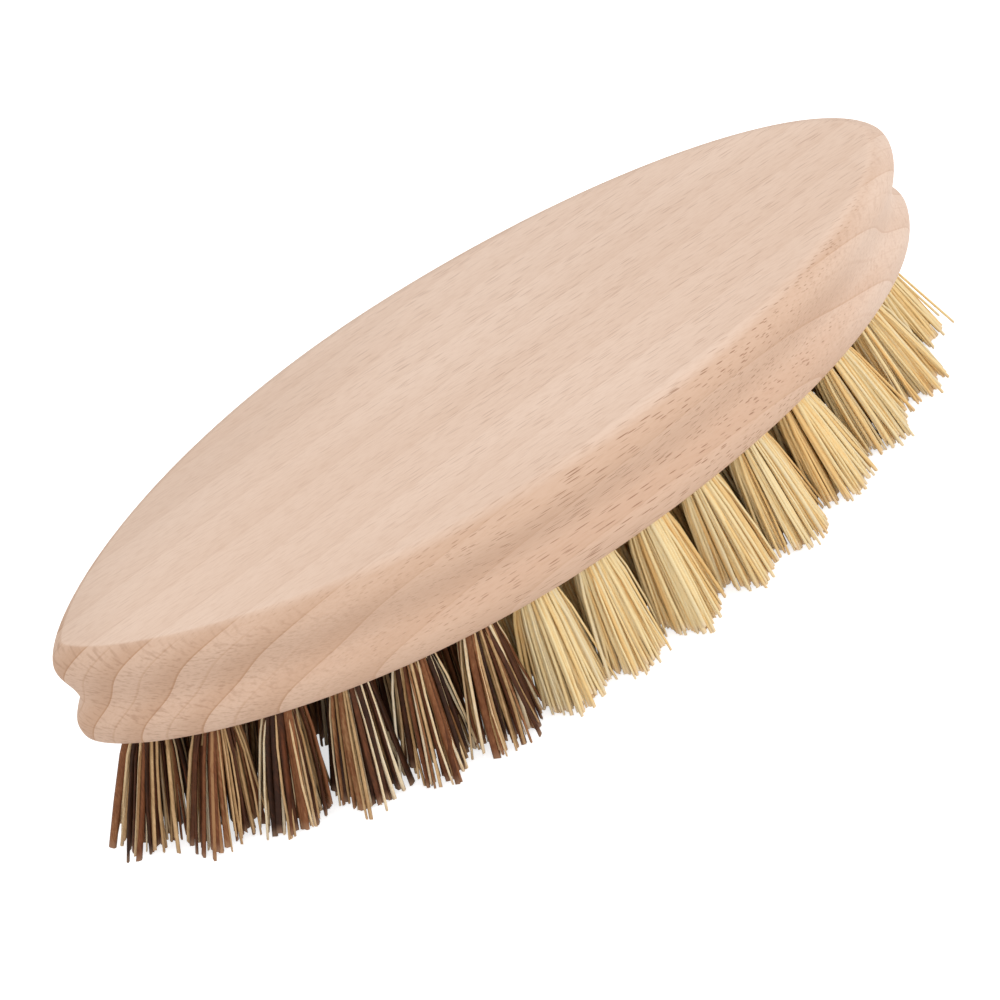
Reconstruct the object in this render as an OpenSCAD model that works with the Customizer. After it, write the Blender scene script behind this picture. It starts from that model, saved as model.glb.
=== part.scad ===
// Vegetable brush: an oval beech block with a bead-and-cove edge, drilled from below and set
// with bundles of plant fibre. Millimetres. +Z is up and Z = 0 is the trimmed face of the fibres,
// on which the brush stands. +X runs towards the blunt end, -X towards the pointed end.

/* [Block] */
// Length of the wooden block
block_length = 135; // [120:1:150]
// Greatest width of the block
block_width = 50; // [48:1:56]
// Height of the block from underside to flat top
block_height = 18; // [17:0.5:22]
// Where along the length the block is widest, from its middle
widest_x = -0.9; // [-4:0.1:4]
// Fullness of the outline's sides towards the pointed end: more is more pointed
pointed_side = 1.46; // [1.1:0.01:1.5]
// Fullness of the outline's sides towards the blunt end
blunt_side = 1.11; // [1:0.01:1.4]

/* [Edge moulding] */
// Height of the lower bead's fullest line above the underside
lower_bead_height = 4.2; // [3:0.1:5]
// Height of the cove's deepest line above the underside
cove_height = 7.8; // [7:0.1:9]
// Depth of the cove behind the two beads
cove_depth = 1.7; // [0.8:0.1:2.2]
// Height of the upper bead's fullest line above the underside
upper_bead_height = 14.7; // [13:0.1:15.5]
// How far the lower edge rounds in to the underside
underside_inset = 2.2; // [1:0.1:3]
// How far the upper edge rolls in to the flat top, at the pointed end
pointed_roll = 2.4; // [1.5:0.1:4]
// How far the upper edge rolls in to the flat top, at the blunt end
blunt_roll = 3.6; // [2:0.1:8]

/* [Fibre bundles] */
// Height of the free fibres, from the block's underside to the trimmed face
fibre_height = 20; // [16:0.5:24]
// Diameter of the bores that hold the bundles
bore_diameter = 5; // [4.4:0.1:5.2]
// Depth of the bores along their own axes
bore_depth = 10; // [8:0.5:11]
// Radius of a bundle where it is trimmed
tip_radius = 4.5; // [3.8:0.1:4.5]
// Distance from the block's long sides to the axes of the outer bores
side_inset = 6.4; // [6:0.1:7]
// Distance from the block's two ends to the axes of the outer bores
end_inset = 10; // [9:0.1:10]
// Number of bundles in the outer ring
outer_count = 28; // [22:2:28]
// Number of bundles in the centre row
centre_count = 10; // [8:1:10]
// Number of bundles in each of the two middle rows
middle_count = 8; // [5:1:8]
// How far the bundles lean out at the ends of the block, from bore to trimmed face
end_fan = 7; // [5:0.5:9]
// How far the bundles lean out along the sides, from bore to trimmed face
side_fan = 3; // [2:0.2:6]
// Where the dark union fibre gives way to the pale tampico fibre
mix_border = -12.5; // [-40:0.5:40]

/* [Wire anchors] */
// Thickness of the flat wire that pins each folded bundle into its bore
wire_thickness = 0.4; // [0.3:0.05:0.6]
// Width of the flat wire, along the bore
wire_width = 1.8; // [1.4:0.1:2.4]
// How far each end of the wire bites into the wall of the bore
wire_bite = 0.5; // [0.3:0.1:0.8]

/* [Hidden] */
$fn = 48;
outline_points = 96;
round_steps = 4;
cove_steps = 6;
flare_steps = 4;
bore_radius = bore_diameter / 2;
// Clearance between a packed bundle and its bore
bundle_clearance = 0.05;
bundle_radius = bore_radius - bundle_clearance;
// The fold of a bundle is this far past the anchor, at the bottom of the bore
fold_height = 1.4;
// The slits that part the fibre locks at the trimmed face
slit_width = 0.9;
slit_depth = 9;
slit_count = 3;
// Turn of the first slit about the bundle's axis
slit_turn = 15;
// Each slit is shallower than the one before, so that the three don't meet at one point
slit_stagger = 0.8;
// Length that every cutter runs past the face it cuts
past = 2;

// A point of the block's outline at a bearing, drawn in by one inset at the ends and one along
// the sides
function edge_point(bearing, end, side) =
    let (
        pointed = cos(bearing) < 0,
        reach = block_length / 2 + (pointed ? widest_x : -widest_x) - end,
        fullness = pointed ? pointed_side : blunt_side
    )
    [
        widest_x + reach * cos(bearing),
        (block_width / 2 - side) * sign(sin(bearing)) * pow(abs(sin(bearing)), fullness)
    ];

// The edge profile below the upper bead, as [height, inset] from just below the underside up
lower_profile = concat(
    [[-past, underside_inset]],
    [for (i = [0:round_steps])
        let (turn = 90 * i / round_steps)
        [lower_bead_height * (1 - cos(turn)), underside_inset * (1 - sin(turn))]],
    [for (i = [1:round_steps])
        let (part = i / round_steps)
        [lower_bead_height + (cove_height - lower_bead_height) * part,
         cove_depth * (1 - cos(180 * part)) / 2]],
    [for (i = [1:cove_steps])
        let (part = i / cove_steps)
        [cove_height + (upper_bead_height - cove_height) * part,
         cove_depth * (1 + cos(180 * part)) / 2]]
);

// The roll above the upper bead: tight and crisp at the pointed end, wide and soft at the blunt end
function roll_inset(bearing) = (pointed_roll + blunt_roll + (blunt_roll - pointed_roll) * cos(bearing)) / 2;
function roll_turn(bearing) = 75 + 15 * cos(bearing);
function roll_point(bearing, part) =
    let (turn = roll_turn(bearing) * part, full = roll_turn(bearing))
    [
        upper_bead_height + (block_height - upper_bead_height) * sin(turn) / sin(full),
        roll_inset(bearing) * (1 - cos(turn)) / (1 - cos(full))
    ];

// One [height, inset] of the edge at a bearing, counted in rings from the underside
ring_count = len(lower_profile) + round_steps;
function profile_point(bearing, ring) =
    ring < len(lower_profile)
        ? lower_profile[ring]
        : roll_point(bearing, (ring - len(lower_profile) + 1) / round_steps);

module block_body() {
    bearings = [for (i = [0:outline_points - 1]) 360 * i / outline_points];
    points = [for (ring = [0:ring_count - 1]) for (bearing = bearings)
        let (profile = profile_point(bearing, ring), edge = edge_point(bearing, profile[1], profile[1]))
        [edge.x, edge.y, fibre_height + profile[0]]];
    sides = [for (ring = [0:ring_count - 2]) for (i = [0:outline_points - 1])
        let (next = (i + 1) % outline_points, low = ring * outline_points, high = low + outline_points)
        [low + i, high + i, high + next, low + next]];
    underside = [for (i = [0:outline_points - 1]) i];
    top = [for (i = [outline_points - 1:-1:0]) (ring_count - 1) * outline_points + i];
    polyhedron(points, concat(sides, [underside, top]));
}

// All the space above a flat plane: the block's underside, or the fibres' trimmed face
module above(height) {
    translate([-block_length, -block_width, height])
        cube([2 * block_length, 2 * block_width, 2 * (fibre_height + block_height)]);
}

// Distances along a path of points, one for each point
function distances(path) =
    [for (i = 0, run = 0; i < len(path); run = run + norm(path[min(i + 1, len(path) - 1)] - path[i]), i = i + 1) run];

// Bore mouths of the outer ring, evenly spaced along the outline's inner line
outer_path = [for (bearing = [0:2:360]) edge_point(bearing, end_inset, side_inset)];
outer_run = distances(outer_path);
outer_total = outer_run[len(outer_run) - 1];
outer_x = [for (i = [0:len(outer_path) - 1]) [outer_run[i], outer_path[i].x]];
outer_y = [for (i = [0:len(outer_path) - 1]) [outer_run[i], outer_path[i].y]];
outer_roots = [for (i = [0:outer_count - 1])
    let (run = outer_total * i / outer_count)
    [lookup(run, outer_x), lookup(run, outer_y)]];

// Bore mouths of the centre row, between the two end bores of the outer ring
pointed_gap = 15;
blunt_gap = 10.6;
row_start = outer_path[90].x + pointed_gap;
row_end = outer_path[0].x - blunt_gap;
centre_pitch = (row_end - row_start) / (centre_count - 1);
centre_roots = [for (i = [0:centre_count - 1]) [row_start + centre_pitch * i, 0]];

// Bore mouths of the middle rows, halfway between the centre row and the outer ring. They start
// further in than the centre row, further still at the narrow pointed end
pointed_setback = 13.5;
blunt_setback = 16;
middle_start = row_start + pointed_setback;
middle_stop = row_end - blunt_setback;
function outer_half_width(x) =
    let (
        inner = x < widest_x,
        reach = block_length / 2 + (inner ? widest_x : -widest_x) - end_inset,
        part = (x - widest_x) / reach
    )
    (block_width / 2 - side_inset) * pow(sqrt(1 - part * part), inner ? pointed_side : blunt_side);
middle_roots = [for (side = [-1, 1]) for (i = [0:middle_count - 1])
    let (x = middle_start + (middle_stop - middle_start) * i / (middle_count - 1))
    [x, side * outer_half_width(x) / 2]];

roots = concat(outer_roots, middle_roots, centre_roots);
union_roots = [for (root = roots) if (root.x < mix_border) root];
tampico_roots = [for (root = roots) if (root.x >= mix_border) root];

// How far a bundle's trimmed end lies outside its bore: the bores fan out from the middle
function lean_offset(root) =
    [end_fan * root.x / (block_length / 2 - end_inset), side_fan * root.y / (block_width / 2 - side_inset)];
function lean_angle(root) = atan2(norm(lean_offset(root)), fibre_height);

// Puts its children at a bore's mouth, with their +Z along the bore into the wood and their +X
// across the way it leans
module at_bore(root) {
    offset_xy = lean_offset(root);
    translate([root.x, root.y, fibre_height])
        rotate([0, lean_angle(root), atan2(-offset_xy.y, -offset_xy.x)])
            rotate([0, 0, 90])
                children();
}

// The flat wire anchor, which lies across the bore below the fold
module anchor() {
    wire_length = bore_diameter + 2 * wire_bite;
    translate([-wire_length / 2, -wire_thickness / 2, bore_depth - fold_height - wire_width])
        cube([wire_length, wire_thickness, wire_width]);
}

module bore() {
    translate([0, 0, -past])
        cylinder(d = bore_diameter, h = bore_depth + past);
    anchor();
}

// A bundle folded over its anchor: straight in the bore, flaring below it, slit into locks
module bundle(root) {
    lean = lean_angle(root);
    collar = bundle_radius * tan(lean) + 0.3;
    reach = fibre_height / cos(lean) + tip_radius * tan(lean) + past;
    flared = fibre_height / cos(lean) - collar;
    function flare_radius(part) = bundle_radius + (tip_radius - bundle_radius) * pow(part, 0.85);
    profile = concat(
        [[0, bore_depth], [bundle_radius * 0.7, bore_depth], [bundle_radius, bore_depth - 1]],
        [for (i = [0:flare_steps])
            [flare_radius(i / flare_steps), -collar - flared * i / flare_steps]],
        [[flare_radius(1), -reach], [0, -reach]]
    );
    rotate_extrude()
        polygon(profile);
}

// The slits that open between the locks of fibre towards the trimmed face
module slits(root) {
    lean = lean_angle(root);
    bottom = fibre_height / cos(lean) + tip_radius * tan(lean) + past;
    top = fibre_height / cos(lean) - slit_depth;
    for (i = [0:slit_count - 1])
        rotate([0, 0, slit_turn + 180 * i / slit_count])
            rotate([90, 0, 0])
                translate([0, 0, -tip_radius - past])
                    linear_extrude(height = 2 * (tip_radius + past))
                        polygon([
                            [0, -top - slit_stagger * i],
                            [-slit_width / 2, -bottom],
                            [slit_width / 2, -bottom]
                        ]);
}

module tuft(root) {
    intersection() {
        at_bore(root) difference() {
            bundle(root);
            anchor();
            slits(root);
        }
        above(0);
    }
}

module beech_block() {
    color([0.89, 0.79, 0.70])
        intersection() {
            block_body();
            difference() {
                above(fibre_height);
                for (root = roots)
                    at_bore(root) bore();
            }
        }
}

module wire_anchors() {
    color([0.62, 0.63, 0.64])
        for (root = roots)
            at_bore(root) anchor();
}

module union_tuft(root) {
    color([0.42, 0.27, 0.19])
        tuft(root);
}

module tampico_tuft(root) {
    color([0.88, 0.77, 0.53])
        tuft(root);
}

// Names such as union_tuft_07
function tuft_name(kind, index) = str(kind, "_tuft_", index < 9 ? "0" : "", index + 1);

beech_block();
wire_anchors();
for (i = [0:len(union_roots) - 1])
    union_tuft(union_roots[i]);
for (i = [0:len(tampico_roots) - 1])
    tampico_tuft(tampico_roots[i]);
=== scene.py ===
"""Vegetable brush: a raw beech block with a bead-and-cove edge, set with bundles of dark union
mixture at the pointed end and of pale tampico over the rest. Named lengths are in millimetres, and
become metres where a mesh or a node is made."""

import math

import bpy
import numpy as np
from mathutils import Matrix, Vector
from mathutils.geometry import delaunay_2d_cdt


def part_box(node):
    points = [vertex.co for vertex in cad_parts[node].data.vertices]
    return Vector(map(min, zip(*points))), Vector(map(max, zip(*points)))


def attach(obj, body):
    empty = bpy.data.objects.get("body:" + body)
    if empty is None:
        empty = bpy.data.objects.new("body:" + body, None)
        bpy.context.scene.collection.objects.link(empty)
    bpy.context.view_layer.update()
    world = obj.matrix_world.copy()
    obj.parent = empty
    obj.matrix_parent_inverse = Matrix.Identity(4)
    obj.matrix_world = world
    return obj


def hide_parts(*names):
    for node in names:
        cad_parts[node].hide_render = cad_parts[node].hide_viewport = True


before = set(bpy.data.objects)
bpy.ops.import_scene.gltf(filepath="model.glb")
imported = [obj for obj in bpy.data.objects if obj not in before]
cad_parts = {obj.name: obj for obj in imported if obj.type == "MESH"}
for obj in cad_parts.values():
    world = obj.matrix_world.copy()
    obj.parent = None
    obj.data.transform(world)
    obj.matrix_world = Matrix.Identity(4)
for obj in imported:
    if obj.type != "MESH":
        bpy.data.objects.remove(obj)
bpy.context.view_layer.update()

MM = 0.001
BODY = "root"


# Camera

# Fitted to the outline of the block in the photograph, in degrees and millimetres
CAMERA_AZIMUTH = -20.5
CAMERA_ELEVATION = 41.6
CAMERA_ROLL = -19.2
CAMERA_DISTANCE = 768.0
CAMERA_LENS = 206.8
SENSOR = 36.0
# The point on the optical axis, from the middle of the block's underside: right and up in the view
AIM_RIGHT = -0.76
AIM_UP = -3.30


def make_camera(underside):
    """The camera, which looks at a point beside the middle of the block's underside."""
    azimuth, elevation, roll = (math.radians(a) for a in (CAMERA_AZIMUTH, CAMERA_ELEVATION, CAMERA_ROLL))
    back = Vector((
        math.sin(azimuth) * math.cos(elevation),
        -math.cos(azimuth) * math.cos(elevation),
        math.sin(elevation),
    ))
    level = Vector((math.cos(azimuth), math.sin(azimuth), 0))
    rise = back.cross(level)
    right = math.cos(roll) * level + math.sin(roll) * rise
    up = math.cos(roll) * rise - math.sin(roll) * level
    place = Vector((0, 0, underside)) + right * AIM_RIGHT + up * AIM_UP + back * CAMERA_DISTANCE
    data = bpy.data.cameras.new("camera")
    data.lens = CAMERA_LENS
    data.sensor_width = SENSOR
    data.clip_start = 0.01
    data.clip_end = 20
    camera = bpy.data.objects.new("camera", data)
    turn = Matrix((right, up, back)).transposed().to_4x4()
    camera.matrix_world = Matrix.Translation(place * MM) @ turn
    bpy.context.scene.collection.objects.link(camera)
    bpy.context.scene.camera = camera


# Helpers

# Kinds of node used often, and the setting that rounds off both ends of a range
MATH = "ShaderNodeMath"
VECTOR_MATH = "ShaderNodeVectorMath"
MIX = "ShaderNodeMix"
RANGE = "ShaderNodeMapRange"
NOISE = "ShaderNodeTexNoise"
STORE = "GeometryNodeStoreNamedAttribute"
SMOOTH = {"interpolation_type": "SMOOTHSTEP"}


def linear(hex_colour):
    """An sRGB hex value, such as "e5c9b6", as linear red, green, blue and alpha."""
    parts = [int(hex_colour[i:i + 2], 16) / 255 for i in (0, 2, 4)]
    return [c / 12.92 if c <= 0.04045 else ((c + 0.055) / 1.055) ** 2.4 for c in parts] + [1.0]


def add(tree, kind, *values, inputs=None, **settings):
    """Adds a node with its settings. Values, sockets and nodes fill its live inputs in order, and
    those in inputs by name. A node stands for its first live output."""
    node = tree.nodes.new(kind)
    for name, setting in settings.items():
        setattr(node, name, setting)
    filled = list(zip((socket for socket in node.inputs if socket.enabled), values))
    filled += [(node.inputs[name], value) for name, value in (inputs or {}).items()]
    for socket, value in filled:
        if isinstance(value, bpy.types.Node):
            value = next(output for output in value.outputs if output.enabled)
        if isinstance(value, bpy.types.NodeSocket):
            tree.links.new(value, socket)
        else:
            socket.default_value = value
    return node


def new_material(name):
    """An empty material and its node tree."""
    material = bpy.data.materials.new(name)
    material.use_nodes = True
    material.node_tree.nodes.clear()
    return material, material.node_tree


def cover(tree, surface):
    """Ends a material in one shader with the inputs given."""
    shader = add(tree, "ShaderNodeBsdfPrincipled", inputs=surface)
    add(tree, "ShaderNodeOutputMaterial", shader)


def link_piece(name, mesh):
    piece = bpy.data.objects.new(name, mesh)
    bpy.context.scene.collection.objects.link(piece)
    return piece


# Block and bores, by the CAD's own formulas

block_low, block_high = (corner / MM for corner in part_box("beech_block"))
BLOCK_LENGTH = block_high.x - block_low.x
BLOCK_WIDTH = block_high.y - block_low.y
BLOCK_HEIGHT = block_high.z - block_low.z
UNDERSIDE = block_low.z
# The outline: where it is widest, and the power of the sine in the pointed and the blunt half
WIDEST_X = -0.9
POINTED_SIDE = 1.46
BLUNT_SIDE = 1.11
# The moulded edge, in heights above the underside and in insets from the outline
LOWER_BEAD = 4.2
COVE = 7.8
COVE_DEPTH = 1.7
UPPER_BEAD = 14.7
UNDERSIDE_INSET = 2.2
POINTED_ROLL = 2.4
BLUNT_ROLL = 3.6
# Degrees of arc in the roll from the upper bead to the flat top
POINTED_ROLL_ARC = 60.0
BLUNT_ROLL_ARC = 90.0
BORE_DIAMETER = 5.0
BORE_DEPTH = 10.0
# The outer ring of bores, drawn in from the outline, and how many bores each row has
SIDE_INSET = 6.4
END_INSET = 10.0
OUTER_COUNT = 28
CENTRE_COUNT = 10
MIDDLE_COUNT = 8
# Between the outer ring and the centre row's ends, and between those and the middle rows' ends
POINTED_GAP = 15.0
BLUNT_GAP = 10.6
POINTED_SETBACK = 13.5
BLUNT_SETBACK = 16.0
# How far the outermost bores' axes lean out over the free fibres' height
END_FAN = 7.0
SIDE_FAN = 3.0
# The bundles nearer to the pointed end than this are dark
MIX_BORDER = -12.5
# The fibres' tips keep this share of their bores' lean towards the ends
END_SPLAY = 0.85

# Steps of the visual mesh
OUTLINE_POINTS = 360
PROFILE_STEPS = 14
BORE_POINTS = 24
# Faces that meet at more than this many degrees keep a sharp edge
SHARP_ANGLE = 40.0


def half_shape(pointed, end):
    """Half length and fullness of the outline's pointed or blunt half, drawn in at its end."""
    reach = BLOCK_LENGTH / 2 + (WIDEST_X if pointed else -WIDEST_X) - end
    return reach, POINTED_SIDE if pointed else BLUNT_SIDE


def edge_point(bearing, end, side):
    """A point of the block's outline, drawn in by one inset at the ends and one along the sides."""
    reach, fullness = half_shape(math.cos(bearing) < 0, end)
    sine = math.sin(bearing)
    return (
        WIDEST_X + reach * math.cos(bearing),
        (BLOCK_WIDTH / 2 - side) * math.copysign(abs(sine) ** fullness, sine),
    )


def half_width(x, end, side):
    """Half the width of the drawn-in outline at a place along the block."""
    reach, fullness = half_shape(x < WIDEST_X, end)
    part = (x - WIDEST_X) / reach
    return (BLOCK_WIDTH / 2 - side) * math.sqrt(max(1 - part * part, 0)) ** fullness


def between_ends(pointed, blunt, bearing):
    """A value that goes smoothly from the pointed end's to the blunt end's."""
    return (pointed + blunt + (blunt - pointed) * math.cos(bearing)) / 2


def edge_profile(bearing):
    """The moulded edge at a bearing as (height, inset), from the underside to the flat top."""
    parts = [i / PROFILE_STEPS for i in range(PROFILE_STEPS + 1)]
    rounding = [(
        LOWER_BEAD * (1 - math.cos(math.pi / 2 * part)),
        UNDERSIDE_INSET * (1 - math.sin(math.pi / 2 * part)),
    ) for part in parts]
    into_cove = [(
        LOWER_BEAD + (COVE - LOWER_BEAD) * part,
        COVE_DEPTH * (1 - math.cos(math.pi * part)) / 2,
    ) for part in parts]
    out_of_cove = [(
        COVE + (UPPER_BEAD - COVE) * part,
        COVE_DEPTH * (1 + math.cos(math.pi * part)) / 2,
    ) for part in parts]
    inset = between_ends(POINTED_ROLL, BLUNT_ROLL, bearing)
    full = math.radians(between_ends(POINTED_ROLL_ARC, BLUNT_ROLL_ARC, bearing))
    roll = [(
        UPPER_BEAD + (BLOCK_HEIGHT - UPPER_BEAD) * math.sin(full * part) / math.sin(full),
        inset * (1 - math.cos(full * part)) / (1 - math.cos(full)),
    ) for part in parts]
    return rounding + into_cove[1:] + out_of_cove[1:] + roll[1:]


def bundle_roots():
    """The bore mouths of the outer ring, the two middle rows and the centre row."""
    # From the blunt end, halfway round to the pointed one, and on to the blunt end again
    bearings = np.radians(range(0, 361, 2))
    path = np.array([edge_point(bearing, END_INSET, SIDE_INSET) for bearing in bearings])
    blunt_x = path[0][0]
    pointed_x = path[len(path) // 2][0]
    run = np.concatenate([[0], np.cumsum(np.linalg.norm(np.diff(path, axis=0), axis=1))])
    places = run[-1] * np.arange(OUTER_COUNT) / OUTER_COUNT
    outer = list(zip(np.interp(places, run, path[:, 0]), np.interp(places, run, path[:, 1])))
    row_start = pointed_x + POINTED_GAP
    row_end = blunt_x - BLUNT_GAP
    stations = np.linspace(row_start + POINTED_SETBACK, row_end - BLUNT_SETBACK, MIDDLE_COUNT)
    middle = [(x, way * half_width(x, END_INSET, SIDE_INSET) / 2) for way in (-1, 1) for x in stations]
    centre = [(x, 0.0) for x in np.linspace(row_start, row_end, CENTRE_COUNT)]
    return outer + middle + centre


def bore_frame(root):
    """A bore's mouth, its unit axis into the wood, its wire's direction and the middle of its
    bundle's trimmed face."""
    x, y = root
    out = Vector((
        END_FAN * x / (BLOCK_LENGTH / 2 - END_INSET),
        SIDE_FAN * y / (BLOCK_WIDTH / 2 - SIDE_INSET),
        0,
    ))
    mouth = Vector((x, y, UNDERSIDE))
    axis = Vector((-out.x, -out.y, UNDERSIDE)).normalized()
    turn = math.atan2(-out.y, -out.x)
    wire = Vector((-math.sin(turn), math.cos(turn), 0))
    return mouth, axis, wire, Vector((x + out.x * END_SPLAY, y + out.y, 0))


def all_bundles():
    """Every bundle as (CAD node, kind, inner row, bore frame), numbered in the CAD's order."""
    counts = {"union": 0, "tampico": 0}
    bundles = []
    for place, root in enumerate(bundle_roots()):
        kind = "union" if root[0] < MIX_BORDER else "tampico"
        counts[kind] += 1
        node = f"{kind}_tuft_{counts[kind]:02d}"
        bundles.append((node, kind, place >= OUTER_COUNT, bore_frame(root)))
    return bundles


def bore_loops(mouth, axis, wire):
    """The rim of a bore in the underside, and the rim of its blind end."""
    fold = axis.cross(wire)
    rim, end = [], []
    for i in range(BORE_POINTS):
        angle = 2 * math.pi * i / BORE_POINTS
        out = (wire * math.cos(angle) + fold * math.sin(angle)) * BORE_DIAMETER / 2
        rim.append(mouth + out - axis * (out.z / axis.z))
        end.append(mouth + out + axis * BORE_DEPTH)
    return rim, end


def in_rim(point, mouth, axis):
    """Whether a point of the underside lies in a bore."""
    offset = Vector((point.x - mouth.x, point.y - mouth.y, 0))
    return (offset - axis * offset.dot(axis)).length < BORE_DIAMETER / 2


def make_block(bundles):
    """The block as one closed mesh: moulded edge, flat top, and an underside with its bores."""
    bearings = [2 * math.pi * i / OUTLINE_POINTS for i in range(OUTLINE_POINTS)]
    profiles = [edge_profile(bearing) for bearing in bearings]
    rings = len(profiles[0])
    points = []
    for ring in range(rings):
        for bearing, profile in zip(bearings, profiles):
            height, inset = profile[ring]
            points.append(Vector((*edge_point(bearing, inset, inset), UNDERSIDE + height)))
    faces = []
    for ring in range(rings - 1):
        low, high = ring * OUTLINE_POINTS, (ring + 1) * OUTLINE_POINTS
        for i in range(OUTLINE_POINTS):
            j = (i + 1) % OUTLINE_POINTS
            faces.append((low + i, low + j, high + j, high + i))
    last = (rings - 1) * OUTLINE_POINTS
    faces.append(tuple(range(last, last + OUTLINE_POINTS)))
    # The underside: the first ring and every bore's rim, triangulated with the bores left open
    plan = [points[i].to_2d() for i in range(OUTLINE_POINTS)]
    index = list(range(OUTLINE_POINTS))
    edges = [(i, (i + 1) % OUTLINE_POINTS) for i in range(OUTLINE_POINTS)]
    for *_, (mouth, axis, wire, _) in bundles:
        rim, end = bore_loops(mouth, axis, wire)
        first, planned = len(points), len(plan)
        points += rim + end
        plan += [point.to_2d() for point in rim]
        index += range(first, first + BORE_POINTS)
        for i in range(BORE_POINTS):
            j = (i + 1) % BORE_POINTS
            edges.append((planned + i, planned + j))
            faces.append((first + j, first + i, first + BORE_POINTS + i, first + BORE_POINTS + j))
        faces.append(tuple(first + BORE_POINTS + i for i in reversed(range(BORE_POINTS))))
    flat, _, triangles, origins, _, _ = delaunay_2d_cdt(plan, edges, [], 0, 1e-6)
    for triangle in triangles:
        centre = sum((flat[i] for i in triangle), Vector((0, 0))) / 3
        if abs(centre.y) > half_width(centre.x, UNDERSIDE_INSET, UNDERSIDE_INSET):
            continue
        if any(in_rim(centre, mouth, axis) for *_, (mouth, axis, _, _) in bundles):
            continue
        faces.append(tuple(index[origins[i][0]] for i in reversed(triangle)))
    mesh = bpy.data.meshes.new("beech_block_form")
    mesh.from_pydata([point * MM for point in points], [], faces)
    mesh.shade_smooth()
    mesh.set_sharp_from_angle(angle=math.radians(SHARP_ANGLE))
    return mesh


# Fibres

# One folded fibre has this many points along it; the ends of the bore's part lie at these shares
FIBRE_POINTS = 11
SHOULDER = 1 / 5
MOUTH = 2 / 5
PROFILE_SIDES = 6
# Heights above the bore's mouth, along the bore: the wire's top, and the fold over it
SHOULDER_HEIGHT = 8.0
FOLD_HEIGHT = 8.8
WIRE_CLEARANCE = 0.4

# Per kind of fibre: how many folded fibres; width; thickness over width; radius of the bundle
# where it is trimmed; how far a fibre bows; how far its tip strays; how ragged the trim is
FIBRES = {
    "bassine": {"Count": 24, "Width": 1.1, "Flatness": 0.4, "Tip Radius": 4.9,
                "Bow": 0.3, "Stray": 1.6, "Ragged": 1.6},
    "cream": {"Count": 30, "Width": 0.5, "Flatness": 0.7, "Tip Radius": 5.0,
              "Bow": 0.5, "Stray": 2.8, "Ragged": 1.6},
    "tampico": {"Count": 150, "Width": 0.54, "Flatness": 0.8, "Tip Radius": 4.6,
                "Bow": 0.3, "Stray": 2.0, "Ragged": 1.5},
}
# The fibres that each kind of bundle is made of
MIXTURES = {"union": ("bassine", "cream"), "tampico": ("tampico",)}
BUNDLE_RADIUS = 2.25
# Share of the bundle's radius at which a share of its fibres lies: this power gives a full rim
RIM_POWER = 0.43
# A free fibre leans out to this power of its way down, so it flares at once below the block
FLARE_POWER = 0.72
# Angle between neighbours on the spiral, in radians
GOLDEN_ANGLE = 2.39996
# Outer fibres pass higher over the wire, by this share of their distance from it
FOLD_RISE = 0.35
# Locks: how many to the millimetre in the bore, and how far the tips of one move together
LOCKS_PER_MM = 0.33
LOCK_REACH = 1.6
# Seeds: the first bundle's, the step to the next bundle's, the step to the next kind of fibre's in
# one bundle, and the step to the next pattern of locks
FIRST_SEED = 5
BUNDLE_SEED_STEP = 17
KIND_SEED_STEP = 500.0
LOCK_SEED_STEP = 3.7
# Strays: a random share to this power, so that few go far, and a little for every fibre
STRAY_POWER = 6.0
LITTLE_STRAY = 0.35
# The trim is ragged by a random share to this power, so that most ends lie near the trimmed face
TRIM_POWER = 3.0
# A cut end slants by up to this much, from noise with this many swings to the millimetre
CUT_SLANT = 0.9
CUT_SWINGS = 1.1
# A fibre in an inner row counts as this much less outward, so the material paints it with more shade
INNER_ROW_SHARE = 0.25


def group_with(name, sockets):
    """A Geometry Nodes group with named inputs and one geometry output."""
    tree = bpy.data.node_groups.new(name, "GeometryNodeTree")
    for label, kind in sockets:
        tree.interface.new_socket(label, in_out="INPUT", socket_type=kind)
    tree.interface.new_socket("Geometry", in_out="OUTPUT", socket_type="NodeSocketGeometry")
    return tree, tree.nodes.new("NodeGroupInput").outputs, tree.nodes.new("NodeGroupOutput").inputs


SHARED_SOCKETS = [
    ("Mouth", "NodeSocketVector"), ("Axis", "NodeSocketVector"), ("Wire", "NodeSocketVector"),
    ("Tip", "NodeSocketVector"), ("Enclosed", "NodeSocketFloat"), ("Seed", "NodeSocketInt"),
    ("Material", "NodeSocketMaterial"),
]
FIBRE_SOCKETS = [
    ("Count", "NodeSocketInt"), ("Width", "NodeSocketFloat"), ("Flatness", "NodeSocketFloat"),
    ("Tip Radius", "NodeSocketFloat"), ("Bow", "NodeSocketFloat"), ("Stray", "NodeSocketFloat"),
    ("Ragged", "NodeSocketFloat"), ("Kind", "NodeSocketFloat"),
]


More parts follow.
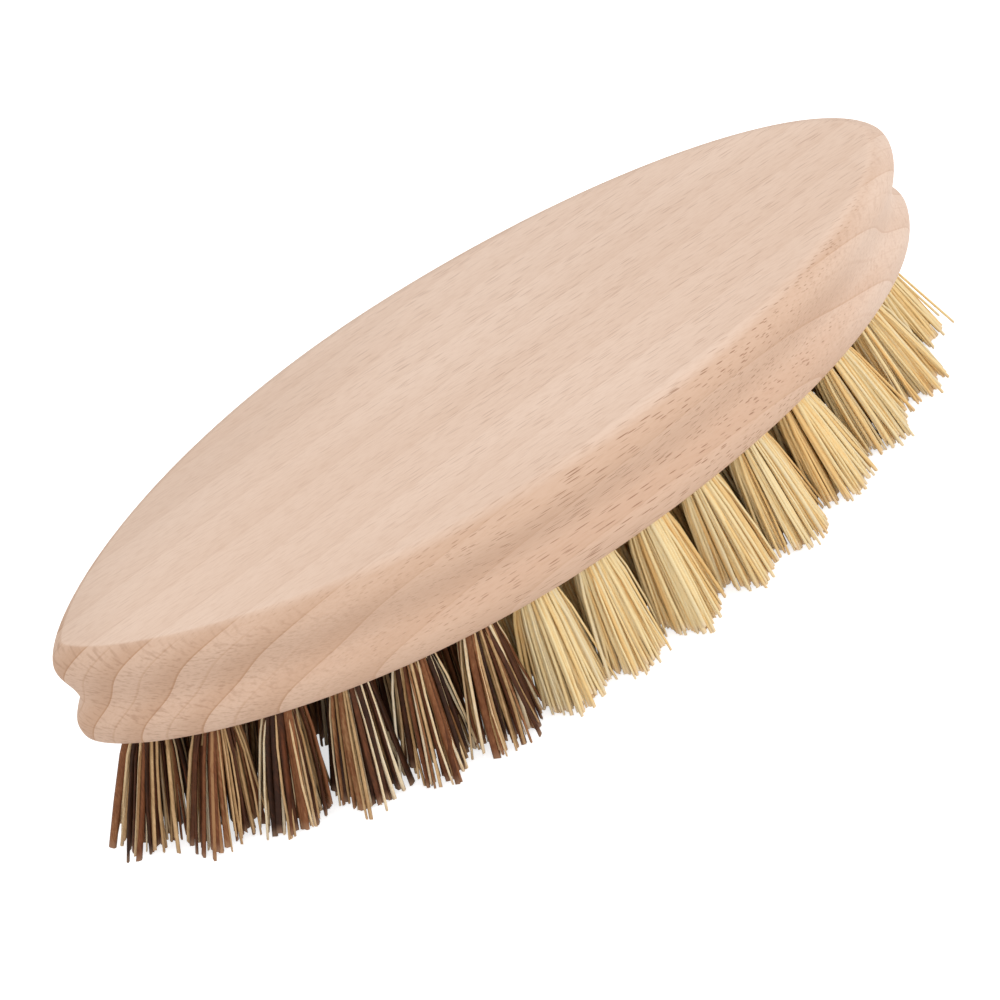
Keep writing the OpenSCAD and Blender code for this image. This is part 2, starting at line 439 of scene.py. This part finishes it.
def folded_fibres_group():
    """Fibres folded over a bore's wire, each with two free ends that fan out to the trimmed face.
    In the bore's own directions, x runs along the wire and y across it."""
    tree, given, result = group_with("folded_fibres", SHARED_SOCKETS + FIBRE_SOCKETS)

    # One straight curve for each folded fibre, numbered
    points = add(tree, "GeometryNodePoints", given["Count"])
    line = add(tree, "GeometryNodeCurvePrimitiveLine", inputs={"End": (0, 0, 1)})
    line = add(tree, "GeometryNodeResampleCurve", line, inputs={"Count": FIBRE_POINTS})
    copies = add(tree, "GeometryNodeInstanceOnPoints", points, inputs={"Instance": line})
    number = add(tree, "GeometryNodeInputIndex")
    copies = add(tree, STORE, copies, inputs={"Name": "fibre", "Value": number},
                 data_type="INT", domain="INSTANCE")
    curves = add(tree, "GeometryNodeRealizeInstances", copies)

    # Along each half: 0 at the fold, 1 at the free end
    fibre = add(tree, "GeometryNodeInputNamedAttribute", "fibre", data_type="INT")
    factor = add(tree, "GeometryNodeSplineParameter")
    signed = add(tree, MATH, factor, 2.0, -1.0, operation="MULTIPLY_ADD")
    along = add(tree, MATH, signed, operation="ABSOLUTE")
    side = add(tree, MATH, signed, operation="SIGN")
    free_end = add(tree, MATH, signed, 0.0, operation="GREATER_THAN")
    end = add(tree, MATH, fibre, 2.0, free_end, operation="MULTIPLY_ADD")
    curves = add(tree, STORE, curves, inputs={"Name": "along", "Value": along},
                 data_type="FLOAT", domain="POINT")

    # Random values: the lowest, the highest, one for each fibre or free end, and a shift of the seed
    draws = {
        "turn": (-0.2, 0.2, fibre, 1), "fan": (0.9, 1.08, end, 2), "trim": (0.0, 1.0, end, 9),
        "stray x": (-1.0, 1.0, end, 3), "stray y": (-1.0, 1.0, end, 6), "far": (0.0, 1.0, end, 20),
        "bow x": (-1.0, 1.0, end, 12), "bow y": (-1.0, 1.0, end, 13),
        "half width": (0.32, 0.62, fibre, 15), "flat side": (0.0, 2 * math.pi, fibre, 16),
        "twist": (-1.2, 1.2, fibre, 17), "tone": (0.0, 1.0, fibre, 18),
    }
    drawn = {}
    for label, (low, high, identity, shift) in draws.items():
        seed = add(tree, MATH, given["Seed"], float(shift), operation="ADD")
        drawn[label] = add(tree, "FunctionNodeRandomValue", low, high, identity, seed, data_type="FLOAT")

    # Place in the bore: an even spiral over one half of its circle, mirrored by the other end
    spread = add(tree, MATH, fibre, 0.5, operation="ADD")
    spread = add(tree, MATH, spread, given["Count"], operation="DIVIDE")
    outward = add(tree, MATH, spread, RIM_POWER, operation="POWER")
    radius = add(tree, MATH, outward, BUNDLE_RADIUS * MM, operation="MULTIPLY")
    angle = add(tree, MATH, fibre, GOLDEN_ANGLE, drawn["turn"], operation="MULTIPLY_ADD")
    cosine = add(tree, MATH, angle, operation="COSINE")
    sine = add(tree, MATH, angle, operation="SINE")
    root_x = add(tree, MATH, radius, cosine, operation="MULTIPLY")
    root_y = add(tree, MATH, radius, sine, operation="MULTIPLY")
    root_y = add(tree, MATH, root_y, operation="ABSOLUTE")
    root_y = add(tree, MATH, root_y, WIRE_CLEARANCE * MM, operation="MAXIMUM")
    side_y = add(tree, MATH, root_y, side, operation="MULTIPLY")

    # Locks of neighbouring fibres, each of which leans its own way
    lock_place = add(tree, "ShaderNodeCombineXYZ", root_x, side_y)
    lock_place = add(tree, VECTOR_MATH, lock_place, LOCKS_PER_MM / MM, operation="SCALE")
    own_lock = add(tree, MATH, given["Seed"], LOCK_SEED_STEP, operation="MULTIPLY")
    own_lock = add(tree, "ShaderNodeCombineXYZ", inputs={"Z": own_lock})
    lock_place = add(tree, VECTOR_MATH, lock_place, own_lock, operation="ADD")
    lock = add(tree, NOISE, lock_place, 1.0, 0.0)
    lock = add(tree, "ShaderNodeSeparateXYZ", lock.outputs["Color"])

    # Place at the trimmed face: the same spiral fanned out, with the locks and strays
    fan = add(tree, MATH, given["Tip Radius"], BUNDLE_RADIUS, operation="DIVIDE")
    fan = add(tree, MATH, drawn["fan"], fan, operation="MULTIPLY")
    far = add(tree, MATH, drawn["far"], STRAY_POWER, operation="POWER")
    far = add(tree, MATH, far, given["Stray"], operation="MULTIPLY")
    stray = add(tree, MATH, far, LITTLE_STRAY, operation="ADD")
    tips = []
    for root, lean, way in ((root_x, lock.outputs["X"], "stray x"), (side_y, lock.outputs["Y"], "stray y")):
        reach = add(tree, MATH, root, fan, operation="MULTIPLY")
        lean = add(tree, MATH, lean, 2 * LOCK_REACH, -LOCK_REACH, operation="MULTIPLY_ADD")
        away = add(tree, MATH, drawn[way], stray, lean, operation="MULTIPLY_ADD")
        tips.append(add(tree, MATH, away, MM, reach, operation="MULTIPLY_ADD"))
    tip_x, tip_y = tips
    trim = add(tree, MATH, drawn["trim"], TRIM_POWER, operation="POWER")
    trim = add(tree, MATH, trim, given["Ragged"], operation="MULTIPLY")
    trim = add(tree, MATH, trim, MM, operation="MULTIPLY")

    # The path: over the wire, down the bore, then out to the tip
    over_wire = add(tree, RANGE, along, 0.0, SHOULDER)
    in_bore = add(tree, RANGE, along, SHOULDER, MOUTH, 1.0, 0.0)
    free = add(tree, RANGE, along, MOUTH, 1.0)
    flare = add(tree, MATH, free, FLARE_POWER, operation="POWER")
    local_x = add(tree, MIX, flare, root_x, tip_x)
    local_y = add(tree, MIX, flare, side_y, tip_y)
    local_y = add(tree, MATH, local_y, over_wire, operation="MULTIPLY")
    arch = add(tree, MATH, root_y, FOLD_RISE, FOLD_HEIGHT * MM, operation="MULTIPLY_ADD")
    height = add(tree, MIX, over_wire, arch, SHOULDER_HEIGHT * MM)
    height = add(tree, MATH, height, in_bore, operation="MULTIPLY")
    wave = add(tree, MATH, free, math.pi, operation="MULTIPLY")
    wave = add(tree, MATH, wave, operation="SINE")
    bow = add(tree, MATH, wave, given["Bow"], operation="MULTIPLY")
    bow = add(tree, MATH, bow, MM, operation="MULTIPLY")
    local_x = add(tree, MATH, bow, drawn["bow x"], local_x, operation="MULTIPLY_ADD")
    local_y = add(tree, MATH, bow, drawn["bow y"], local_y, operation="MULTIPLY_ADD")

    # From the bore's own directions to the scene's, ending at the trimmed face
    across = add(tree, VECTOR_MATH, given["Axis"], given["Wire"], operation="CROSS_PRODUCT")
    across_z = add(tree, "ShaderNodeSeparateXYZ", across).outputs["Z"]
    axis_z = add(tree, "ShaderNodeSeparateXYZ", given["Axis"]).outputs["Z"]
    rise = add(tree, MATH, across_z, tip_y, operation="MULTIPLY")
    rise = add(tree, MATH, trim, rise, operation="SUBTRACT")
    rise = add(tree, MATH, rise, axis_z, operation="DIVIDE")
    lengthwise = add(tree, MATH, rise, free, height, operation="MULTIPLY_ADD")
    place = add(tree, MIX, free, given["Mouth"], given["Tip"], data_type="VECTOR")
    for direction, reach in ((given["Wire"], local_x), (across, local_y), (given["Axis"], lengthwise)):
        step = add(tree, VECTOR_MATH, direction, reach, operation="SCALE")
        place = add(tree, VECTOR_MATH, place, step, operation="ADD")
    curves = add(tree, "GeometryNodeSetPosition", curves, inputs={"Position": place})

    # Thickness, and the turn of the flat side
    half_thick = add(tree, MATH, given["Width"], drawn["half width"], operation="MULTIPLY")
    half_thick = add(tree, MATH, half_thick, MM, operation="MULTIPLY")
    curves = add(tree, "GeometryNodeSetCurveRadius", curves, inputs={"Radius": half_thick})
    turn = add(tree, MATH, signed, drawn["twist"], drawn["flat side"], operation="MULTIPLY_ADD")
    curves = add(tree, "GeometryNodeSetCurveTilt", curves, inputs={"Tilt": turn})

    # What the material tells the fibres apart by, and how far out each lies, which sets its painted shade
    outer_row = add(tree, MATH, given["Enclosed"], -INNER_ROW_SHARE, 1.0, operation="MULTIPLY_ADD")
    outward = add(tree, MATH, outward, outer_row, operation="MULTIPLY")
    for label, value in (("tone", drawn["tone"]), ("kind", given["Kind"]), ("outward", outward)):
        curves = add(tree, STORE, curves, inputs={"Name": label, "Value": value},
                     data_type="FLOAT", domain="POINT")

    # The solid fibre, with closed ends
    ring = add(tree, "GeometryNodeCurvePrimitiveCircle", inputs={"Resolution": PROFILE_SIDES, "Radius": 1.0})
    flat = add(tree, "ShaderNodeCombineXYZ", 1.0, given["Flatness"], 1.0)
    ring = add(tree, "GeometryNodeTransform", ring, inputs={"Scale": flat})
    thick = add(tree, "GeometryNodeInputNamedAttribute", "radius", data_type="FLOAT")
    solid = add(tree, "GeometryNodeCurveToMesh", curves, ring, thick, True)

    # The cut ends slant, and nothing reaches below the plane on which the brush stands
    position = add(tree, "GeometryNodeInputPosition")
    kept_along = add(tree, "GeometryNodeInputNamedAttribute", "along", data_type="FLOAT")
    at_cut = add(tree, MATH, kept_along, 0.999, operation="GREATER_THAN")
    slant = add(tree, NOISE, position, CUT_SWINGS / MM, 0.0)
    slant = add(tree, MATH, slant, CUT_SLANT * MM, operation="MULTIPLY")
    slant = add(tree, MATH, slant, at_cut, operation="MULTIPLY")
    slant = add(tree, VECTOR_MATH, given["Axis"], slant, operation="SCALE")
    slanted = add(tree, VECTOR_MATH, position, slant, operation="ADD")
    above = add(tree, VECTOR_MATH, slanted, (-1e3, -1e3, 0.0), operation="MAXIMUM")
    solid = add(tree, "GeometryNodeSetPosition", solid, inputs={"Position": above})
    solid = add(tree, "GeometryNodeSetShadeSmooth", solid)
    solid = add(tree, "GeometryNodeRealizeInstances", solid)
    solid = add(tree, "GeometryNodeSetMaterial", solid, inputs={"Material": given["Material"]})
    tree.links.new(solid.outputs[0], result["Geometry"])
    return tree


def bundle_group(name, kinds, fibres):
    """A bundle of one or two kinds of folded fibre in one bore. Each kind has its own seeds."""
    own_sockets = [(f"{kind} {label}", socket) for kind in kinds for label, socket in FIBRE_SOCKETS]
    tree, given, result = group_with(name, SHARED_SOCKETS + own_sockets)
    together = add(tree, "GeometryNodeJoinGeometry")
    for number, kind in enumerate(kinds):
        inputs = {label: given[label] for label, _ in SHARED_SOCKETS}
        inputs.update({label: given[f"{kind} {label}"] for label, _ in FIBRE_SOCKETS})
        kind_seed = KIND_SEED_STEP * number
        inputs["Seed"] = add(tree, MATH, given["Seed"], 2.0, kind_seed, operation="MULTIPLY_ADD")
        part = add(tree, "GeometryNodeGroup", node_tree=fibres, inputs=inputs)
        tree.links.new(part.outputs[0], together.inputs[0])
    tree.links.new(together.outputs[0], result["Geometry"])
    return tree


def make_bundles(bundles, groups, materials):
    """One piece for each bundle, grown by its Geometry Nodes and then kept as a plain mesh."""
    pieces = []
    for number, (node, kind, inner, (mouth, axis, wire, tip)) in enumerate(bundles):
        piece = link_piece(node.replace("tuft", "bundle"), bpy.data.meshes.new(node + "_seedling"))
        grow = piece.modifiers.new("fibres", "NODES")
        grow.node_group = groups[kind]
        values = {
            "Mouth": mouth * MM, "Axis": axis, "Wire": wire, "Tip": tip * MM,
            "Enclosed": float(inner), "Seed": FIRST_SEED + BUNDLE_SEED_STEP * number,
            "Material": materials[kind],
        }
        for place, fibre in enumerate(MIXTURES[kind]):
            values.update({f"{fibre} {label}": value for label, value in FIBRES[fibre].items()})
            values[f"{fibre} Kind"] = float(place)
        for socket in groups[kind].interface.items_tree:
            if socket.in_out == "INPUT":
                value = values[socket.name]
                grow[socket.identifier] = tuple(value) if isinstance(value, Vector) else value
        pieces.append((piece, node, kind))
    graph = bpy.context.evaluated_depsgraph_get()
    for piece, node, kind in pieces:
        mesh = bpy.data.meshes.new_from_object(piece.evaluated_get(graph), depsgraph=graph)
        mesh.name = node + "_fibres"
        piece.modifiers.clear()
        piece.data = mesh
    return pieces


# Materials

# Growth rings: the pith lies in front of the near side, low down, and the grain drifts away from
# it on its way to the blunt end
PITH_Y = -61.0
PITH_Z = 0.4
GRAIN_SLOPE = -0.079
RING_SPACING = 5.0
RING_START = 4.4
# How far the rings wander, and over what lengths along and across the grain
RING_WANDER = 1.2
WANDER_SIZE = (50.0, 20.0, 20.0)
# Rays: the cells that hold one mark each, along and across the grain, and the mark's half size as
# a share of them. Many real rays are too fine to show, so all are drawn about 0.2 mm thick
RAY_CELL = (5.0, 0.3125, 0.3125)
RAY_SIZE = 0.3
# The second set of marks is moved by this many cells
SECOND_RAYS = (31.4, 27.2, 18.3)
# Rays on the end grain: their size along the grain, out from the pith and round it at a distance
SPOKE_SIZE = (0.7692, 2.5, 0.2381)
SPOKE_DISTANCE = 50.0
# Marks of the sanded wood's fibres, drawn coarse enough to show, and broad patches of darker wood
FINE_SIZE = (2.0, 0.25, 0.25)
BROAD_SIZE = (50.0, 16.67, 16.67)
# Ranges as (from, to, value at the first, value at the second), the values 0 and 1 where left out.
# Lean of the surface along the grain that shows end grain, and upwards that counts as the top; below the top
# the edge is painted darker, as shade
END_GRAIN = (0.12, 0.5)
FLAT_TOP = (0.72, 1.0)
# Places along the block: the blunt end, where the end grain is painted paler as lit, and the rays that fade
# to the pointed end
BLUNT_END_RANGE = (15.0, 60.0)
RAY_FADE = (-40.0, 5.0, 0.35, 1.0)
# Shares of one ring: its late wood, the line where growth stopped, and a line between two of
# those, with its shift
LATE_WOOD = (0.0, 0.75, 0.5, 0.0)
GROWTH_LINE = (0.015, 0.05, 0.4, 0.0)
LINE_BETWEEN = (0.02, 0.06, 0.3, 0.0)
BETWEEN_SHIFT = 0.45
# Noise or chance to the strength of a mark
RAY_CHANCE = (0.1, 1.0, 0.15, 1.0)
SPOKES = (0.46, 0.74, 0.0, 0.3)
FINE_MARKS = (0.4, 0.75, 0.0, 0.2)
BROAD_PATCHES = (0.35, 0.65, 0.0, 0.25)
# The top is the wood's own colour. The edge colour is painted shade, darker because the sides are lit less,
# and it also tints the broad patches of darker wood
BEECH_TOP = "e6ccb9"
BEECH_SHADED_EDGE_AND_PATCHES = "d3b29a"
# End grain colours: painted shade darkens it towards the pointed end, and painted light brightens it at the
# blunt end, which faces the key lamp
BEECH_SHADED_END_GRAIN = "d7b7a0"
BEECH_LIT_END_GRAIN = "ddc4b2"
BEECH_LATE = "b98f70"
BEECH_RAY = "8d6248"
# Streaks along a plant fibre: their width and length. Real ones are some hundredths of a
# millimetre wide, too fine to show, so they are drawn coarser
STREAK_SIZE = (0.2222, 0.2222, 2.857)
# Mottles on one folded fibre, and how far the pattern moves on from one tone to the next
MOTTLES = 7.0
MOTTLE_SHIFT = 91.0
# Painted shade: a deeper colour inside the bundle, by how far out the fibre lies and how near its tip, for
# the shade and the light passed through other fibres there; paler cuts
SHADE_INSIDE = (0.3, 0.9, 0.85, 0.0)
ABOVE_TIPS = (0.8, 1.0, 1.0, 0.3)
AT_CUT = (0.95, 1.0, 0.0, 0.4)


def ray_marks(tree, place, shift):
    """Lens-shaped marks, one to a cell, of which some are stronger."""
    shifted = add(tree, VECTOR_MATH, place, shift, operation="ADD")
    cells = add(tree, "ShaderNodeTexVoronoi", shifted, 1.0)
    mark = add(tree, RANGE, cells.outputs["Distance"], RAY_SIZE * 0.55, RAY_SIZE, 1.0, 0.0, **SMOOTH)
    chance = add(tree, "ShaderNodeSeparateXYZ", cells.outputs["Color"])
    strength = add(tree, RANGE, chance, *RAY_CHANCE, **SMOOTH)
    return add(tree, MATH, mark, strength, operation="MULTIPLY")


def beech():
    """Raw beech, moulded and sanded: matt and pinkish, with soft growth rings, short dark rays
    along the grain, and end grain where the edge turns round the ends. The moulded edge is painted
    darker than the flat top, as shade, and the end grain is painted darker at the pointed end, as
    shade, and paler at the blunt end, as lit."""
    material, tree = new_material("raw_beech")
    coordinates = add(tree, "ShaderNodeTexCoord")
    place = add(tree, VECTOR_MATH, coordinates.outputs["Object"], 1 / MM, operation="SCALE")
    x, y, z = add(tree, "ShaderNodeSeparateXYZ", place).outputs
    facing = add(tree, "ShaderNodeSeparateXYZ", coordinates.outputs["Normal"])
    end_grain = add(tree, MATH, facing.outputs["X"], operation="ABSOLUTE")
    end_grain = add(tree, RANGE, end_grain, *END_GRAIN, **SMOOTH)
    flat_top = add(tree, RANGE, facing.outputs["Z"], *FLAT_TOP, **SMOOTH)
    blunt_end = add(tree, RANGE, x, *BLUNT_END_RANGE, **SMOOTH)

    # Distance from the pith, which wanders slowly along the grain
    wander = add(tree, VECTOR_MATH, place, WANDER_SIZE, operation="DIVIDE")
    wander = add(tree, NOISE, wander, 1.0, 1.0)
    off_y = add(tree, MATH, y, PITH_Y, operation="SUBTRACT")
    off_z = add(tree, MATH, z, PITH_Z, operation="SUBTRACT")
    distance = add(tree, "ShaderNodeCombineXYZ", off_y, off_z)
    distance = add(tree, VECTOR_MATH, distance, operation="LENGTH")
    distance = add(tree, MATH, x, GRAIN_SLOPE, distance, operation="MULTIPLY_ADD")
    distance = add(tree, MATH, wander, RING_WANDER, distance, operation="MULTIPLY_ADD")

    # Rings: a fine line where growth stopped, fading late wood, and fine lines between on end grain
    turns = add(tree, MATH, distance, RING_START, operation="SUBTRACT")
    turns = add(tree, MATH, turns, RING_SPACING, operation="DIVIDE")
    ring = add(tree, MATH, turns, operation="FRACT")
    late = add(tree, RANGE, ring, *LATE_WOOD, **SMOOTH)
    line = add(tree, RANGE, ring, *GROWTH_LINE, **SMOOTH)
    between = add(tree, MATH, turns, BETWEEN_SHIFT, operation="ADD")
    between = add(tree, MATH, between, operation="FRACT")
    between = add(tree, RANGE, between, *LINE_BETWEEN, **SMOOTH)
    line = add(tree, MATH, between, end_grain, line, operation="MULTIPLY_ADD")
    rings = add(tree, MATH, line, late, operation="ADD")
    rings = add(tree, MATH, rings, add(tree, MIX, end_grain, 0.35, 1.0), operation="MULTIPLY")
    rings = add(tree, MATH, rings, add(tree, MIX, flat_top, 1.0, 0.5), operation="MULTIPLY")

    # Rays: dashes along the grain on top and sides, fainter towards the pointed end
    along_grain = add(tree, VECTOR_MATH, place, RAY_CELL, operation="DIVIDE")
    first = ray_marks(tree, along_grain, (0.0, 0.0, 0.0))
    second = ray_marks(tree, along_grain, SECOND_RAYS)
    dashes = add(tree, MATH, first, second, operation="MAXIMUM")
    dashes = add(tree, MATH, dashes, add(tree, MIX, flat_top, 0.8, 0.3), operation="MULTIPLY")
    towards_blunt = add(tree, RANGE, x, *RAY_FADE, **SMOOTH)
    dashes = add(tree, MATH, dashes, towards_blunt, operation="MULTIPLY")

    # Rays on the end grain: lines out from the pith
    around = add(tree, MATH, off_z, off_y, operation="ARCTAN2")
    around = add(tree, MATH, around, SPOKE_DISTANCE, operation="MULTIPLY")
    spokes = add(tree, "ShaderNodeCombineXYZ", x, distance, around)
    spokes = add(tree, VECTOR_MATH, spokes, SPOKE_SIZE, operation="DIVIDE")
    spokes = add(tree, NOISE, spokes, 1.0, 1.0)
    spokes = add(tree, RANGE, spokes, *SPOKES, **SMOOTH)
    marks = add(tree, MIX, end_grain, dashes, spokes)

    # The blunt end's grain is calmer
    calm = add(tree, MATH, blunt_end, end_grain, operation="MULTIPLY")
    calm = add(tree, MIX, calm, 1.0, 0.4)
    marks = add(tree, MATH, marks, calm, operation="MULTIPLY")
    rings = add(tree, MATH, rings, calm, operation="MULTIPLY")

    fine = add(tree, VECTOR_MATH, place, FINE_SIZE, operation="DIVIDE")
    fine = add(tree, NOISE, fine, 1.0, 3.0)
    fine_marks = add(tree, RANGE, fine, *FINE_MARKS, **SMOOTH)
    broad = add(tree, VECTOR_MATH, place, BROAD_SIZE, operation="DIVIDE")
    broad = add(tree, NOISE, broad, 1.0, 1.0)
    broad = add(tree, RANGE, broad, *BROAD_PATCHES, **SMOOTH)
    # Painted shade: the edge is darker than the flat top, by how far the surface turns from facing up
    colour = add(tree, MIX, flat_top, linear(BEECH_SHADED_EDGE_AND_PATCHES), linear(BEECH_TOP), data_type="RGBA")
    # Painted light and shade on the end grain: paler at the blunt end, darker towards the pointed end
    end_colour = add(tree, MIX, blunt_end, linear(BEECH_SHADED_END_GRAIN), linear(BEECH_LIT_END_GRAIN), data_type="RGBA")
    colour = add(tree, MIX, end_grain, colour, end_colour, data_type="RGBA")
    for share, tint in (
        (broad, BEECH_SHADED_EDGE_AND_PATCHES), (rings, BEECH_LATE), (fine_marks, BEECH_LATE), (marks, BEECH_RAY),
    ):
        colour = add(tree, MIX, share, colour, linear(tint), data_type="RGBA")
    bump = add(tree, "ShaderNodeBump", 0.3, 0.1 * MM, inputs={"Height": fine})
    cover(tree, {"Base Color": colour, "Roughness": 0.6, "Specular IOR Level": 0.2, "Normal": bump})
    return material


def fibre_material(name, ramps, deep, cut, roughness, specular):
    """Plant fibre: one colour for each fibre, from its tone, streaked along it. Inside the bundle it
    has painted shade, a deeper colour for the shade and the light passed through other fibres
    there, and it is paler where cut."""
    material, tree = new_material(name)
    tone, along, outward = (
        add(tree, "ShaderNodeAttribute", attribute_name=label).outputs["Fac"]
        for label in ("tone", "along", "outward")
    )
    place = add(tree, "ShaderNodeTexCoord").outputs["Object"]
    streaks = add(tree, VECTOR_MATH, place, [size * MM for size in STREAK_SIZE], operation="DIVIDE")
    streaks = add(tree, NOISE, streaks, 1.0, 1.0)
    mottle_x = add(tree, MATH, along, MOTTLES, operation="MULTIPLY")
    mottle_y = add(tree, MATH, tone, MOTTLE_SHIFT, operation="MULTIPLY")
    mottle = add(tree, "ShaderNodeCombineXYZ", mottle_x, mottle_y)
    mottle = add(tree, NOISE, mottle, 1.0, 2.0)
    mottle = add(tree, MATH, mottle, streaks, operation="ADD")
    tone = add(tree, MATH, tone, -0.5, operation="ADD")
    shade = add(tree, MATH, mottle, 0.5, tone, operation="MULTIPLY_ADD", use_clamp=True)
    colours = []
    for stops in ramps:
        ramp = add(tree, "ShaderNodeValToRGB", shade)
        elements = ramp.color_ramp.elements
        for stop, _ in stops[1:-1]:
            elements.new(stop)
        for element, (stop, hex_colour) in zip(elements, stops):
            element.position = stop
            element.color = linear(hex_colour)
        colours.append(ramp)
    colour = colours[0]
    if len(colours) > 1:
        kind = add(tree, "ShaderNodeAttribute", attribute_name="kind").outputs["Fac"]
        colour = add(tree, MIX, kind, *colours, data_type="RGBA")
    inside = add(tree, RANGE, outward, *SHADE_INSIDE, **SMOOTH)
    above_tips = add(tree, RANGE, along, *ABOVE_TIPS, **SMOOTH)
    inside = add(tree, MATH, inside, above_tips, operation="MULTIPLY")
    # Painted shade: inner fibres, away from their tips, take the deep colour
    colour = add(tree, MIX, inside, colour, linear(deep), data_type="RGBA", blend_type="MULTIPLY")
    at_cut = add(tree, RANGE, along, *AT_CUT, **SMOOTH)
    colour = add(tree, MIX, at_cut, colour, linear(cut), data_type="RGBA")
    cover(tree, {"Base Color": colour, "Roughness": roughness, "Specular IOR Level": specular})
    return material


def union_fibre():
    """Union mixture, split and cut: ribbons of bassine, red-brown to near-black with a slight
    sheen, among finer cream fibres."""
    dark = [(0.0, "301b10"), (0.3, "522e1a"), (0.55, "6f4127"), (0.8, "8a5939"), (1.0, "a87c55")]
    cream = [(0.0, "a37f55"), (0.4, "cfab7d"), (0.7, "e6cba0"), (1.0, "f2e2c4")]
    # The deep colour is painted shade on the inner fibres
    return fibre_material("union_mixture_fibre", (dark, cream), deep="b08a6c", cut="b89478",
                          roughness=0.55, specular=0.15)


def tampico_fibre():
    """Tampico, combed and cut: dry, matt fibres from straw to cream, painted golden where they lie deep, as
    shade.
    """
    pale = [(0.0, "e6bf82"), (0.25, "eac98e"), (0.55, "eed6a4"), (0.85, "ebd6a8"), (1.0, "e6d4ae")]
    return fibre_material("tampico_fibre", (pale,), deep="ffd98c", cut="e8d0bc",
                          roughness=0.6, specular=0.08)


def anchor_wire():
    """Galvanised steel wire, rolled flat: dull grey metal with a soft shine."""
    material, tree = new_material("galvanised_wire")
    cover(tree, {"Base Color": linear("a9abad"), "Metallic": 1.0, "Roughness": 0.38})
    return material


# Surroundings

WHITE = (1.0, 1.0, 1.0, 1.0)
WORLD_STRENGTH = 0.85
# What the floor needs on top of its own light to show as white
FLOOR_GLOW = 0.68
# Half the floor's width. This and the lamps' values are in metres
FLOOR_SIZE = 1.5
# Square lamps: place and watts. Both shine on one point, level with the block's underside
LAMPS = {
    "key": ((0.80, -0.70, 0.48), 3.7),
    "front": ((-0.32, -0.85, 0.80), 2.0),
}
LAMP_SIZE = 0.5
LIT_POINT = (0.0, 0.0, 0.02)


def looked_at(tree):
    """1 for a ray from the camera, a reflection or a refraction."""
    path = add(tree, "ShaderNodeLightPath").outputs
    seen = add(tree, MATH, path["Is Camera Ray"], path["Is Glossy Ray"], operation="MAXIMUM")
    return add(tree, MATH, seen, path["Is Transmission Ray"], operation="MAXIMUM")


def make_world():
    world = bpy.data.worlds.new("studio")
    bpy.context.scene.world = world
    world.use_nodes = True
    tree = world.node_tree
    tree.nodes.clear()
    strength = add(tree, MIX, looked_at(tree), WORLD_STRENGTH, 1.0)
    background = add(tree, "ShaderNodeBackground", WHITE, strength)
    add(tree, "ShaderNodeOutputWorld", background)


def make_floor():
    """A plain white floor. What it lacks of white is added for the camera, so the shadow stays."""
    material, tree = new_material("white_floor")
    glow = add(tree, MATH, looked_at(tree), FLOOR_GLOW, operation="MULTIPLY")
    cover(tree, {
        "Base Color": linear("e8e8e8"), "Roughness": 1.0, "Specular IOR Level": 0.0,
        "Emission Color": WHITE, "Emission Strength": glow,
    })
    corners = [(x * FLOOR_SIZE, y * FLOOR_SIZE, 0) for x, y in ((-1, -1), (1, -1), (1, 1), (-1, 1))]
    mesh = bpy.data.meshes.new("floor_form")
    mesh.from_pydata(corners, [], [(0, 1, 2, 3)])
    mesh.materials.append(material)
    floor = link_piece("floor", mesh)


def make_lamp(name, place, watts):
    data = bpy.data.lights.new(name, "AREA")
    data.shape = "SQUARE"
    data.size = LAMP_SIZE
    data.energy = watts
    lamp = bpy.data.objects.new(name, data)
    lamp.location = place
    lamp.rotation_euler = (Vector(LIT_POINT) - Vector(place)).to_track_quat("-Z", "Y").to_euler()
    bpy.context.scene.collection.objects.link(lamp)


# Build

bpy.context.scene.view_settings.view_transform = "Standard"
make_camera(UNDERSIDE)
bundles = all_bundles()
beech_material = beech()
materials = {"union": union_fibre(), "tampico": tampico_fibre()}
fibres = folded_fibres_group()
groups = {kind: bundle_group(f"{kind}_bundle", parts, fibres) for kind, parts in MIXTURES.items()}

block = link_piece("block", make_block(bundles))
block.data.materials.append(beech_material)
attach(block, BODY)
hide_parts("beech_block")

for piece, node, kind in make_bundles(bundles, groups, materials):
    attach(piece, BODY)
    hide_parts(node)

wire_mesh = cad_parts["wire_anchors"].data
wire_mesh.materials.clear()
wire_mesh.materials.append(anchor_wire())

make_world()
make_floor()
for name, (place, watts) in LAMPS.items():
    make_lamp(name, place, watts)
